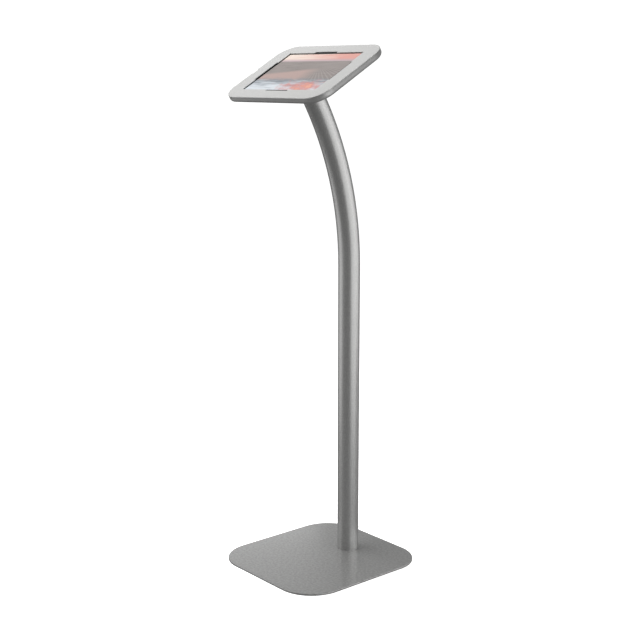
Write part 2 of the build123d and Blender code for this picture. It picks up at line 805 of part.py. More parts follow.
faceplate.part.label = "faceplate"
export_step(faceplate.part, "parts/faceplate.step")

gasket_inner_width = window_width + 2 * (notch_depth + gasket_step)
gasket_inner_height = window_height + 2 * (notch_depth + gasket_step)
with BuildPart() as window_gasket:
    with BuildSketch(below_front(skin)):
        Rectangle(gasket_inner_width + 2 * gasket_width, gasket_inner_height + 2 * gasket_width)
        Rectangle(gasket_inner_width, gasket_inner_height, mode=Mode.SUBTRACT)
    extrude(amount=-gasket_thickness)
window_gasket.part.label = "window_gasket"
export_step(window_gasket.part, "parts/window_gasket.step")

# ---- Locks and the catches that they hold ----
lock_body_top = floor_top - lock_nut_thickness - lock_body_tail
cam_bottom = lock_body_top - cam_lift
foot_top = cam_bottom + catch_gap
catch_near = lock_row + cam_reach + catch_swing_gap + catch_leg - catch_foot
with BuildPart() as catches:
    with BuildSketch(below_front(skin)):
        with Locations((0, catch_near + catch_foot - catch_leg / 2)):
            with GridLocations(2 * lock_place, 0, 2, 1):
                Rectangle(catch_width, catch_leg)
    extrude(amount=-(foot_top - skin + catch_foot_thickness))
    with BuildSketch(below_front(foot_top)):
        with Locations((0, catch_near + catch_foot / 2)):
            with GridLocations(2 * lock_place, 0, 2, 1):
                Rectangle(catch_width, catch_foot)
    extrude(amount=-catch_foot_thickness)
catches.part.label = "catches"
export_step(catches.part, "parts/catches.step")

with BuildPart() as lock_bodies:
    with BuildSketch(below_front(head_depth)):
        with Locations((0, lock_row)):
            with GridLocations(2 * lock_place, 0, 2, 1):
                Circle(lock_flange_radius)
    extrude(amount=-lock_flange_thickness)
    with BuildSketch(below_front(head_depth)):
        with Locations((0, lock_row)):
            with GridLocations(2 * lock_place, 0, 2, 1):
                Circle(lock_body_radius)
    extrude(amount=head_depth - lock_body_top)
    with BuildSketch(below_front(head_depth + lock_flange_thickness)):
        with Locations((0, lock_row)):
            with GridLocations(2 * lock_place, 0, 2, 1):
                Circle(lock_plug_radius + running_gap)
    extrude(amount=head_depth + lock_flange_thickness - lock_body_top, mode=Mode.SUBTRACT)
lock_bodies.part.label = "lock_bodies"
export_step(lock_bodies.part, "parts/lock_bodies.step")

with BuildPart() as lock_nuts:
    with BuildSketch(below_front(floor_top)):
        with Locations((0, lock_row)):
            with GridLocations(2 * lock_place, 0, 2, 1):
                RegularPolygon(lock_nut_radius, 6)
                Circle(lock_body_radius + thread_gap, mode=Mode.SUBTRACT)
    extrude(amount=lock_nut_thickness)
lock_nuts.part.label = "lock_nuts"
export_step(lock_nuts.part, "parts/lock_nuts.step")

for side, hand in ((-1, "left"), (1, "right")):
    lock_centre = (side * lock_place, lock_row)
    with BuildPart() as lock_plug:
        with BuildSketch(below_front(head_depth + lock_flange_thickness)):
            with Locations(lock_centre):
                Circle(lock_plug_radius)
        extrude(amount=head_depth + lock_flange_thickness - cam_bottom)
        with BuildSketch(below_front(head_depth + lock_flange_thickness)):
            with Locations(lock_centre):
                Rectangle(keyway_length, keyway_width)
        extrude(amount=keyway_depth, mode=Mode.SUBTRACT)
        with BuildSketch(below_front(cam_bottom)):
            with Locations(lock_centre):
                Circle(cam_screw_radius + thread_gap)
        extrude(amount=-cam_screw_length, mode=Mode.SUBTRACT)
    lock_plug.part.label = f"lock_plug_{hand}"
    export_step(lock_plug.part, f"parts/lock_plug_{hand}.step")

    with BuildPart() as lock_cam:
        with BuildSketch(below_front(cam_bottom)):
            with Locations(lock_centre):
                Circle(cam_hub_radius)
            with Locations((side * (lock_place + cam_reach / 2), lock_row)):
                Rectangle(cam_reach, cam_width)
            with Locations(lock_centre):
                Circle(cam_screw_radius + thread_gap, mode=Mode.SUBTRACT)
        extrude(amount=cam_thickness)
    lock_cam.part.label = f"lock_cam_{hand}"
    export_step(lock_cam.part, f"parts/lock_cam_{hand}.step")

    with BuildPart() as lock_cam_screw:
        with BuildSketch(below_front(cam_bottom - cam_thickness)):
            with Locations(lock_centre):
                Circle(cam_screw_head_radius)
        extrude(amount=cam_screw_head)
        with BuildSketch(below_front(cam_bottom - cam_thickness)):
            with Locations(lock_centre):
                Circle(cam_screw_radius)
        extrude(amount=-cam_screw_length)
        with BuildSketch(below_front(cam_bottom - cam_thickness - cam_screw_head)):
            with Locations(lock_centre):
                Rectangle(2 * cam_screw_head_radius, cam_screw_head / 2)
        extrude(amount=-cam_screw_head / 2, mode=Mode.SUBTRACT)
    lock_cam_screw.part.label = f"lock_cam_screw_{hand}"
    export_step(lock_cam_screw.part, f"parts/lock_cam_screw_{hand}.step")
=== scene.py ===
"""Looks of a touchscreen kiosk: powder-coated stand and head, tablet, fittings, foam and stage."""

import json
import math

import bmesh
import bpy
from bpy.props import FloatProperty, FloatVectorProperty, PointerProperty, StringProperty
from mathutils import Matrix, Vector


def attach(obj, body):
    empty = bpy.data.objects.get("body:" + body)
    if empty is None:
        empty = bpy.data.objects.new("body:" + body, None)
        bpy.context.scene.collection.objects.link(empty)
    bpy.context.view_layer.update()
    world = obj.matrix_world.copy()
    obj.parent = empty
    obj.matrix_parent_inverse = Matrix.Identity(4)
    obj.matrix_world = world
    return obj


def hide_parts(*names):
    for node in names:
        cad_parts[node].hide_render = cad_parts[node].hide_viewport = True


bl_info = {
    "name": "Touchscreen Kiosk Finish",
    "version": (1, 0, 0),
    "blender": (4, 5, 0),
    "location": "View3D > Sidebar > Kiosk",
    "description": "Gives a packed touchscreen kiosk its finishes, foam parts, picture and stage",
    "category": "Object",
}

MM = 0.001

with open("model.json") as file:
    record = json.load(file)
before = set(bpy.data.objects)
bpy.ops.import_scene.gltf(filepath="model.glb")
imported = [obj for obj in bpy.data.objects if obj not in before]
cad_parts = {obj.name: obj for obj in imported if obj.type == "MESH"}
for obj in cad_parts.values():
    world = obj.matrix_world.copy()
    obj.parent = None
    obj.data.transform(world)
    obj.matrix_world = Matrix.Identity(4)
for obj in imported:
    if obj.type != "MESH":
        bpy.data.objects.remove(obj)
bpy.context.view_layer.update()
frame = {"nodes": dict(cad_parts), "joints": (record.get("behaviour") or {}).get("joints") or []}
NODES = frame["nodes"]
TURN = next(joint for joint in frame["joints"] if joint["name"] == "head_turn")
FACE_NORMAL = Vector(TURN["axis"]).normalized()
FACE_CENTRE = Vector(TURN["pos_m"])
HEAD_SLOPE = math.atan2(-FACE_NORMAL.y, FACE_NORMAL.z)
# Takes head coordinates (x to the right, y up the slope, z out of the face) to the frame's.
HEAD = Matrix.Translation(FACE_CENTRE) @ Matrix.Rotation(HEAD_SLOPE, 4, "X")


# ---- Colour and node helpers ----
def linear(hex_colour):
    """A colour such as C8C8C6, from sRGB to linear, with full alpha."""
    channels = []
    for start in (0, 2, 4):
        value = int(hex_colour[start : start + 2], 16) / 255
        channels.append(value / 12.92 if value <= 0.04045 else ((value + 0.055) / 1.055) ** 2.4)
    return (*channels, 1.0)


def toned(hex_colour, amount):
    """The same colour, lighter or darker, in linear light."""
    return (*(min(1.0, channel * amount) for channel in linear(hex_colour)[:3]), 1.0)


def add(tree, kind, inputs=None, **settings):
    """Adds a node. An input given as an output socket is linked, and any other is set."""
    node = tree.nodes.new("ShaderNode" + kind)
    for name, value in settings.items():
        setattr(node, name, value)
    sockets = {socket.identifier: socket for socket in node.inputs}
    for key, value in (inputs or {}).items():
        socket = node.inputs[key] if isinstance(key, int) else sockets[key]
        if isinstance(value, bpy.types.NodeSocket):
            tree.links.new(value, socket)
        else:
            socket.default_value = value
    return node


def new_material(name):
    """An empty material, its tree and each point's place in the frame, in metres."""
    material = bpy.data.materials.new(name)
    material.use_nodes = True
    tree = material.node_tree
    tree.nodes.clear()
    return material, tree, add(tree, "TexCoord").outputs["Object"]


def finish_material(tree, inputs):
    """Adds the shader with these inputs, and the output."""
    shader = add(tree, "BsdfPrincipled", inputs)
    add(tree, "OutputMaterial", {"Surface": shader.outputs["BSDF"]})


def head_point(tree, point):
    """Each point's place in head coordinates at rest."""
    moved = add(tree, "VectorMath", {0: point, 1: FACE_CENTRE}, operation="SUBTRACT")
    turned = add(
        tree,
        "VectorRotate",
        {"Vector": moved.outputs[0], "Angle": -HEAD_SLOPE},
        rotation_type="X_AXIS",
    )
    return turned.outputs[0]


def dress(material, *names):
    """Gives CAD nodes one material all over."""
    for name in names:
        mesh = NODES[name].data
        mesh.materials.clear()
        mesh.materials.append(material)


# ---- Shape helpers ----
def solids(name):
    """The low and high corner of each separate solid of a CAD node, in head coordinates."""
    node = NODES[name]
    builder = bmesh.new()
    builder.from_mesh(node.data)
    builder.transform(HEAD.inverted() @ node.matrix_world)
    bmesh.ops.remove_doubles(builder, verts=builder.verts, dist=0.01 * MM)
    boxes = []
    left = set(builder.verts)
    while left:
        reached = [left.pop()]
        for vertex in reached:
            for edge in vertex.link_edges:
                other = edge.other_vert(vertex)
                if other in left:
                    left.remove(other)
                    reached.append(other)
        low = Vector([min(vertex.co[axis] for vertex in reached) for axis in range(3)])
        high = Vector([max(vertex.co[axis] for vertex in reached) for axis in range(3)])
        boxes.append((low, high))
    builder.free()
    return sorted(boxes, key=lambda box: (round(box[0].x, 4), round(box[0].y, 4)))


def rounded_outline(low, high, radius):
    """A rectangle with round corners, anticlockwise, as points in the head's plane."""
    points = []
    for turn, x, y in (
        (0, high.x - radius, high.y - radius),
        (90, low.x + radius, high.y - radius),
        (180, low.x + radius, low.y + radius),
        (270, high.x - radius, low.y + radius),
    ):
        for step in range(7):
            angle = math.radians(turn + 15 * step)
            points.append(Vector((x + radius * math.cos(angle), y + radius * math.sin(angle))))
    return points


def lofted(name, outline, rings, hollow=False):
    """A foam part from its outline and rings of inset and height. Hollow joins last to first."""
    builder = bmesh.new()
    loops = []
    for inset, height in rings:
        loop = []
        for index, place in enumerate(outline):
            run = (outline[(index + 1) % len(outline)] - outline[index - 1]).normalized()
            inner = place + Vector((-run.y, run.x)) * inset
            loop.append(builder.verts.new(HEAD @ Vector((inner.x, inner.y, height))))
        loops.append(loop)
    pairs = list(zip(loops, loops[1:]))
    if hollow:
        pairs.append((loops[-1], loops[0]))
    for below, above in pairs:
        for index in range(len(outline)):
            builder.faces.new((below[index - 1], below[index], above[index], above[index - 1]))
    if not hollow:
        builder.faces.new(loops[0][::-1])
        builder.faces.new(loops[-1])
    bmesh.ops.recalc_face_normals(builder, faces=builder.faces)
    mesh = bpy.data.meshes.new(name)
    builder.to_mesh(mesh)
    builder.free()
    for face in mesh.polygons:
        face.use_smooth = len(face.vertices) == 4
    piece = bpy.data.objects.new(name, mesh)
    bpy.context.scene.collection.objects.link(piece)
    return piece


# ---- Finishes ----
def powder_coat(name, hex_colour, peel_mm, flake_share, rough, tone, relief_share):
    """Baked polyester powder with aluminium flake on metal.

    The flake gives a satin grey sheen, and the melted powder a fine orange peel that breaks
    the sheen up. The real peel is about 1 mm across; it is drawn wider, so that it shows.
    """
    material, tree, point = new_material(name)
    peel = add(
        tree,
        "TexNoise",
        {"Vector": point, "Scale": 1 / (peel_mm * MM), "Detail": 1.5, "Roughness": 0.5},
    )
    speck = add(
        tree,
        "MapRange",
        {"Value": peel.outputs[0], "From Min": 0.35, "From Max": 0.65},
    )
    colour = add(
        tree,
        "Mix",
        {
            "Factor_Float": speck.outputs[0],
            "A_Color": toned(hex_colour, 1 - tone),
            "B_Color": toned(hex_colour, 1 + tone),
        },
        data_type="RGBA",
    )
    sheen = add(
        tree,
        "MapRange",
        {
            "Value": peel.outputs[0],
            "From Min": 0.3,
            "From Max": 0.7,
            "To Min": rough - 0.05,
            "To Max": rough + 0.05,
        },
    )
    relief = add(
        tree,
        "Bump",
        {"Height": peel.outputs[0], "Strength": 1.0, "Distance": relief_share * peel_mm * MM},
    )
    finish_material(
        tree,
        {
            "Base Color": colour.outputs[2],
            "Metallic": flake_share,
            "Roughness": sheen.outputs[0],
            "Coat Weight": 0.8,
            "Coat Roughness": 0.18,
            "Normal": relief.outputs[0],
            "Coat Normal": relief.outputs[0],
        },
    )
    return material


def bare_metal(name, hex_colour, rough, grain_mm, tone=0.15, relief_mm=0.01):
    """Metal under a skin too thin to hide it: plated, oxidised or anodised.

    The grain of the turning, blasting or plating shows as a slight change of tone and gloss.
    """
    material, tree, point = new_material(name)
    grain = add(
        tree,
        "TexNoise",
        {"Vector": point, "Scale": 1 / (grain_mm * MM), "Detail": 3.0, "Roughness": 0.6},
    )
    colour = add(
        tree,
        "Mix",
        {
            "Factor_Float": grain.outputs[0],
            "A_Color": toned(hex_colour, 1 - tone),
            "B_Color": toned(hex_colour, 1 + tone),
        },
        data_type="RGBA",
    )
    gloss = add(
        tree,
        "MapRange",
        {"Value": grain.outputs[0], "To Min": rough * 0.75, "To Max": rough * 1.25},
    )
    relief = add(
        tree, "Bump", {"Height": grain.outputs[0], "Strength": 0.4, "Distance": relief_mm * MM}
    )
    finish_material(
        tree,
        {
            "Base Color": colour.outputs[2],
            "Metallic": 1.0,
            "Roughness": gloss.outputs[0],
            "Normal": relief.outputs[0],
        },
    )
    return material


def moulded(name, hex_colour, rough, ior, skin_mm, relief_mm, tone=0.2):
    """Moulded rubber, plastic or foam, coloured through, with the mould's fine skin."""
    material, tree, point = new_material(name)
    skin = add(
        tree,
        "TexNoise",
        {"Vector": point, "Scale": 1 / (skin_mm * MM), "Detail": 3.0, "Roughness": 0.6},
    )
    colour = add(
        tree,
        "Mix",
        {
            "Factor_Float": skin.outputs[0],
            "A_Color": toned(hex_colour, 1 - tone),
            "B_Color": toned(hex_colour, 1 + tone),
        },
        data_type="RGBA",
    )
    gloss = add(
        tree,
        "MapRange",
        {"Value": skin.outputs[0], "To Min": rough * 0.85, "To Max": rough * 1.15},
    )
    relief = add(
        tree, "Bump", {"Height": skin.outputs[0], "Strength": 0.5, "Distance": relief_mm * MM}
    )
    finish_material(
        tree,
        {
            "Base Color": colour.outputs[2],
            "IOR": ior,
            "Roughness": gloss.outputs[0],
            "Normal": relief.outputs[0],
        },
    )
    return material


# ---- Settings ----
class KIOSK_PG_metal(bpy.types.PropertyGroup):
    """Colours of the metal parts."""

    stand_colour: StringProperty(
        name="Stand Colour", description="Powder coat on column and base plate", default="A4A4A3"
    )
    head_colour: StringProperty(
        name="Head Colour", description="Powder coat on the tray and faceplate", default="A9A9A8"
    )
    plate_peel: FloatProperty(
        name="Plate Peel", description="Width of the plate's orange peel, in millimetres",
        default=5.0,
    )
    stand_peel: FloatProperty(
        name="Stand Peel", description="Width of the column's orange peel, in millimetres",
        default=3.0,
    )
    head_peel: FloatProperty(
        name="Head Peel", description="Width of the head's orange peel, in millimetres",
        default=2.0,
    )
    zinc_colour: StringProperty(
        name="Zinc Colour", description="Zinc-plated steel fittings", default="C4C6C9"
    )


class KIOSK_PG_foam(bpy.types.PropertyGroup):
    """Sizes of the foam parts that their CAD solids' boxes don't give."""

    pad_corner: FloatProperty(
        name="Pad Corner", description="Corner radius of a rear pad", default=4.0 * MM,
        unit="LENGTH",
    )
    holder_width: FloatProperty(
        name="Holder Width", description="Width of a corner holder's legs", default=8.0 * MM,
        unit="LENGTH",
    )
    holder_bend: FloatProperty(
        name="Holder Bend", description="Radius round the tablet's corner", default=10.6 * MM,
        unit="LENGTH",
    )
    holder_round: FloatProperty(
        name="Holder Round", description="Radius of a corner holder's outer corner",
        default=4.0 * MM, unit="LENGTH",
    )
    holder_end: FloatProperty(
        name="Holder End", description="Corner radius at the ends of a corner holder's legs",
        default=3.0 * MM, unit="LENGTH",
    )
    gasket_width: FloatProperty(
        name="Gasket Width", description="Width of the window gasket", default=2.0 * MM,
        unit="LENGTH",
    )
    gasket_corner: FloatProperty(
        name="Gasket Corner", description="Outer corner radius of the window gasket",
        default=2.5 * MM, unit="LENGTH",
    )


class KIOSK_PG_screen(bpy.types.PropertyGroup):
    """The lit area of the tablet's glass and the colours of its picture."""

    lit_width: FloatProperty(
        name="Lit Width", description="Width of the lit area", default=0.231, unit="LENGTH"
    )
    lit_height: FloatProperty(
        name="Lit Height", description="Height of the lit area", default=0.1444, unit="LENGTH"
    )
    border: StringProperty(name="Border", description="Print behind the glass", default="0B0B0C")
    sky_left: StringProperty(name="Sky Left", description="Cream sky", default="EEDDD2")
    sky_right: StringProperty(name="Sky Right", description="Salmon sky", default="E2A79D")
    haze: StringProperty(name="Haze", description="Lilac haze at the skyline", default="C4B0B4")
    ground: StringProperty(name="Ground", description="Far ground", default="8E8784")
    furrow: StringProperty(name="Furrow", description="Furrows in the ground", default="B3ABA9")
    slope: StringProperty(name="Slope", description="Near slope", default="B7A19B")
    film: StringProperty(name="Film", description="Wet sand", default="8C9298")
    streak: StringProperty(name="Streak", description="Bright water", default="DCE2E8")
    glow_red: StringProperty(name="Glow Red", description="Red in the water", default="D28E89")
    glow_core: StringProperty(name="Glow Core", description="Orange core", default="EFB39C")
    backlight: FloatProperty(
        name="Backlight", description="How strongly the panel is lit", default=0.25, min=0, max=2
    )


class KIOSK_PG_stage(bpy.types.PropertyGroup):
    """Camera, lights and floor."""

    azimuth: FloatProperty(
        name="Azimuth",
        description="Camera's turn from the front towards the right-hand side",
        default=math.radians(49.71),
        subtype="ANGLE",
    )
    elevation: FloatProperty(
        name="Elevation",
        description="Camera's height angle above level",
        default=math.radians(11.44),
        subtype="ANGLE",
    )
    distance: FloatProperty(
        name="Distance", description="Camera to aim point", default=2.62, unit="LENGTH"
    )
    aim: FloatVectorProperty(
        name="Aim", description="Point that the camera looks at", default=(0, -0.001, 0.549),
        subtype="TRANSLATION", unit="LENGTH",
    )
    lens: FloatProperty(
        name="Lens", description="Focal length", default=67.886, unit="CAMERA"
    )
    floor_colour: StringProperty(name="Floor", description="White paper", default="F7F7F6")
    room_radius: FloatProperty(
        name="Room Radius", description="Radius of the floor and its sweep", default=9.0,
        unit="LENGTH",
    )
    sweep_radius: FloatProperty(
        name="Sweep Radius", description="Radius of the bend from floor to wall", default=2.0,
        unit="LENGTH",
    )
    wall_height: FloatProperty(
        name="Wall Height", description="Height of the paper wall", default=6.0, unit="LENGTH"
    )
    roof_height: FloatProperty(
        name="Roof Height", description="Height of the roof's middle", default=8.0, unit="LENGTH"
    )


# Places in the screen's picture, as shares of the lit area from its lower left corner.
SKYLINE = 0.8
FURROW_HUB = (0.62, 0.68, 0.0)
GLOW_CENTRE = (0.77, 0.09, 0.0)
# Softboxes: name, place, target, width, height, power and how wide the light spreads.
SOFTBOXES = (
    ("right_box", (3.0, 0.5, 0.6), (0.0, 0.0, 0.55), 3.2, 2.4, 47.0, 180.0),
    ("right_rear_box", (1.8, 2.3, 0.8), (0.0, 0.0, 0.65), 2.2, 2.0, 26.0, 180.0),
    ("left_box", (-1.85, -1.5, 0.5), (0.0, 0.0, 0.5), 2.2, 1.8, 13.0, 180.0),
    ("top_box", (-0.4, -0.35, 2.25), (0.0, -0.05, 1.08), 1.2, 1.2, 59.0, 180.0),
    ("plate_box", (-1.36, 0.62, 0.34), (-0.08, -0.14, 0.0), 0.8, 0.4, 0.37, 110.0),
)
# Softboxes that light only these nodes.
BOX_RECEIVERS = (
    ("plate_box", ("base_plate",)),
    ("right_rear_box", ("base_plate", "column_tube", "cable_grommet", "foot_pads", "neck_plug")),
)
# The room's own light: azimuth, elevation, sharpness and strength of each soft lobe.
ROOM_LEVEL = 0.18
ROOM_LOBES = (
    (-36.0, 0.0, 12.0, 0.37),
    (229.0, 8.0, 14.0, 0.16),
    (55.0, 10.0, 6.0, 0.05),
    (-70.0, -50.0, 8.0, -0.14),
)


def toward(azimuth, elevation):
    """The direction at these angles in degrees, from the front towards the right-hand side."""
    turn, rise = math.radians(azimuth), math.radians(elevation)
    level = math.cos(rise)
    return Vector((math.sin(turn) * level, -math.cos(turn) * level, math.sin(rise)))


# ---- Steps ----
class KIOSK_OT_stage(bpy.types.Operator):
    """Set up the floor, lights and camera"""

    bl_idname = "kiosk.stage"
    bl_label = "Stage"

    def execute(self, context):
        stage = context.scene.kiosk_stage
        self.floor(context, stage)
        aim = Vector(stage.aim)
        camera = bpy.data.objects.new("camera", bpy.data.cameras.new("camera"))
        camera.data.lens = stage.lens
        away = toward(math.degrees(stage.azimuth), math.degrees(stage.elevation))
        camera.location = aim + away * stage.distance
        camera.rotation_euler = (-away).to_track_quat("-Z", "Y").to_euler()
        context.scene.collection.objects.link(camera)
        context.scene.camera = camera
        for name, place, target, width, height, power, spread in SOFTBOXES:
            light = bpy.data.lights.new(name, "AREA")
            light.shape = "RECTANGLE"
            light.size = width
            light.size_y = height
            light.energy = power
            light.spread = math.radians(spread)
            box = bpy.data.objects.new(name, light)
            box.location = place
            aimed = Vector(target) - Vector(place)
            box.rotation_euler = aimed.to_track_quat("-Z", "Y").to_euler()
            context.scene.collection.objects.link(box)
            # The top box lights the sloping face without mirroring in it from any side.
            box.visible_glossy = name != "top_box"
        # Two boxes are flagged off: one from all but the base plate, one from all but the stand.
        for name, receivers in BOX_RECEIVERS:
            only = bpy.data.collections.new(f"{name}_receivers")
            for node in receivers:
                only.objects.link(NODES[node])
            bpy.data.objects[name].light_linking.receiver_collection = only
        self.room(context)
        context.scene.view_settings.view_transform = "Standard"
        return {"FINISHED"}

    def floor(self, context, stage):
        """A round floor that sweeps up into a wall all the way round, of self-lit white paper."""
        mesh = bpy.data.meshes.new("paper_sweep")
        builder = bmesh.new()
        bend = stage.sweep_radius
        profile = [(0.0, 0.0)]
        for step in range(13):
            turn = math.radians(90 * step / 12)
            reach = stage.room_radius - bend + bend * math.sin(turn)
            profile.append((reach, bend - bend * math.cos(turn)))
        profile.append((stage.room_radius, stage.wall_height))
        profile.append((0.0, stage.roof_height))
        points = [builder.verts.new((reach, 0, height)) for reach, height in profile]
        edges = [builder.edges.new(pair) for pair in zip(points, points[1:])]
        bmesh.ops.spin(
            builder, geom=points + edges, axis=(0, 0, 1), angle=2 * math.pi, steps=96,
            use_merge=True,
        )
        bmesh.ops.remove_doubles(builder, verts=builder.verts, dist=0.0001)
        builder.to_mesh(mesh)
        builder.free()
        for face in mesh.polygons:
            face.use_smooth = True
        sweep = bpy.data.objects.new("paper_sweep", mesh)
        context.scene.collection.objects.link(sweep)
        # White paper, coated smooth: matt, with a cloudiness that only just shows.
        material, tree, point = new_material("matt_white_paper")
        cloud = add(tree, "TexNoise", {"Vector": point, "Scale": 3.0, "Detail": 2.0})
        colour = add(
            tree,
            "Mix",
            {
                "Factor_Float": cloud.outputs[0],
                "A_Color": toned(stage.floor_colour, 0.99),
                "B_Color": linear(stage.floor_colour),
            },
            data_type="RGBA",
        )
        finish_material(
            tree,
            {
                "Base Color": colour.outputs[2],
                "Roughness": 0.9,
                "Specular IOR Level": 0.1,
                "Emission Color": (1.0, 1.0, 1.0, 1.0),
                "Emission Strength": 0.9,
            },
        )
        material.cycles.emission_sampling = "NONE"
        mesh.materials.append(material)
        # The paper doesn't light the kiosk or show in it: the room's lobes stand for that.
        sweep.visible_diffuse = False
        sweep.visible_glossy = False
        sweep.visible_transmission = False
        sweep.visible_shadow = False

    def room(self, context):
        """Soft light from all round, as the sum of a level and some wide lobes."""
        world = bpy.data.worlds.new("studio_room")
        world.use_nodes = True
        context.scene.world = world
        tree = world.node_tree
        tree.nodes.clear()
        view = add(tree, "TexCoord").outputs["Generated"]
        total = None
        for azimuth, elevation, sharpness, strength in ROOM_LOBES:
            facing = add(
                tree,
                "VectorMath",
                {0: view, 1: toward(azimuth, elevation)},
                operation="DOT_PRODUCT",
            )
            half = add(
                tree,
                "MapRange",
                {"Value": facing.outputs["Value"], "From Min": -1.0, "From Max": 1.0},
            )
            lobe = add(tree, "Math", {0: half.outputs[0], 1: sharpness}, operation="POWER")
            total = add(
                tree,
                "Math",
                {0: lobe.outputs[0], 1: strength, 2: ROOM_LEVEL if total is None else total},
                operation="MULTIPLY_ADD",
            ).outputs[0]
        glow = add(tree, "Background", {"Color": (1.0, 1.0, 1.0, 1.0), "Strength": total})
        add(tree, "OutputWorld", {"Surface": glow.outputs[0]})


class KIOSK_OT_powder_coat(bpy.types.Operator):
    """Powder coat the plate, column, neck, tray and faceplate"""

    bl_idname = "kiosk.powder_coat"
    bl_label = "Powder Coat"

    def execute(self, context):
        metal = context.scene.kiosk_metal
        plate = powder_coat(
            "coarse_powder_coated_steel", metal.stand_colour, metal.plate_peel,
            flake_share=0.6, rough=0.4, tone=0.16, relief_share=0.035,
        )
        tube = powder_coat(
            "powder_coated_steel", metal.stand_colour, metal.stand_peel,
            flake_share=0.6, rough=0.4, tone=0.08, relief_share=0.02,
        )
        head = powder_coat(
            "powder_coated_aluminium", metal.head_colour, metal.head_peel,
            flake_share=0.35, rough=0.42, tone=0.06, relief_share=0.008,
        )
        dress(plate, "base_plate")
        dress(tube, "column_tube", "neck_plug", "turn_plate")
        dress(head, "back_tray", "faceplate")
        return {"FINISHED"}


class KIOSK_OT_fittings(bpy.types.Operator):
    """Finish screws, washers, hub, locks and catches"""

    bl_idname = "kiosk.fittings"
    bl_label = "Fittings"

    def execute(self, context):
        # Bright zinc on steel: silvery with a slight blue, half gloss.
        colour = context.scene.kiosk_metal.zinc_colour
        zinc = bare_metal("zinc_plated_steel", colour, rough=0.34, grain_mm=0.6)
        dress(zinc, "foot_boss", "column_screws", "stop_pin", "wave_washer", "ring_nut")
        dress(zinc, "pivot_hub", "lock_nuts", "catches", "lock_cam_left", "lock_cam_right")
        dress(zinc, "lock_cam_screw_left", "lock_cam_screw_right", "charging_socket")
        # Nickel on brass, polished: bright and slightly warm.
        nickel = bare_metal(
            "nickel_plated_brass", "D8D6D0", rough=0.14, grain_mm=1.5, tone=0.04
        )
        dress(nickel, "lock_bodies", "lock_plug_left", "lock_plug_right")
        # Oiled black oxide on steel: nearly black, satin.
        oxide = bare_metal("black_oxide_steel", "2E2E2F", rough=0.4, grain_mm=0.5)
        dress(oxide, "neck_screws", "turn_plate_screws")
        return {"FINISHED"}


class KIOSK_OT_rubber_and_plastic(bpy.types.Operator):
    """Finish the pads, grommets, washers and the tablet's inner parts"""

    bl_idname = "kiosk.rubber_and_plastic"
    bl_label = "Rubber and Plastic"

    def execute(self, context):
        # Moulded black rubber: matt, with a bloom that breaks the black up.
        rubber = moulded(
            "moulded_epdm_rubber", "1D1D1E", rough=0.62, ior=1.52, skin_mm=0.6, relief_mm=0.03
        )
        dress(rubber, "foot_pads", "cable_grommet", "tray_grommet")
        # Turned nylon: ivory, waxy.
        nylon = moulded(
            "turned_nylon", "E3DFD2", rough=0.4, ior=1.53, skin_mm=0.8, relief_mm=0.01, tone=0.04
        )
        dress(nylon, "upper_washer", "lower_washer")
        # Moulded polycarbonate: black, half gloss.
        plastic = moulded(
            "moulded_polycarbonate", "141416", rough=0.32, ior=1.58, skin_mm=0.8, relief_mm=0.01
        )
        dress(plastic, "display_panel", "speakers", "front_camera", "rear_camera")
        # Laminated foil round the cells: dark grey and crinkled.
        wrap = moulded(
            "laminated_battery_foil", "2B2C2F", rough=0.3, ior=1.5, skin_mm=4.0, relief_mm=0.1
        )
        dress(wrap, "battery_cells")
        # Epoxy solder mask: deep green and glossy.
        board = moulded(
            "solder_masked_board", "1C4A33", rough=0.25, ior=1.55, skin_mm=1.5, relief_mm=0.01
        )
        dress(board, "main_board")
        return {"FINISHED"}


